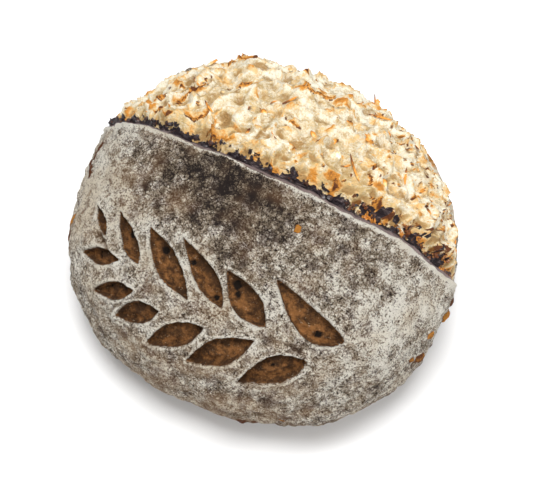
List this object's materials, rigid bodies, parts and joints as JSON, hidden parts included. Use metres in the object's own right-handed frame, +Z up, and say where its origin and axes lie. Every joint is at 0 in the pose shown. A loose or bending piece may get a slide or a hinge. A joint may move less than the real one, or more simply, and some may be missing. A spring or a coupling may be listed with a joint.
{
  "type": "sourdough loaf",
  "caption": "Crusty floured sourdough loaf with a raised ear, a torn bloom and a scored sprig of leaves; food that rests on a flat base.",
  "frame": {"origin": "middle of the loaf's bounding box, at the base that it stands on", "axes": "+X along the long score, which is the loaf's longest way; +Y towards the bloom; -Y towards the scored leaves; +Z up"},
  "size_m": [0.2412, 0.223, 0.1363],
  "materials": {
    "floured_crust": "matte dark-baked crust under a patchy dusting of pale flour",
    "bloom_crust": "matte cream and golden torn crust, rough, with flakes",
    "burnt_edge": "near-black burnt crust edge, slightly glossy"
  },
  "bodies": {
    "root": {"loaf": "floured_crust"}
  },
  "joints": []
}
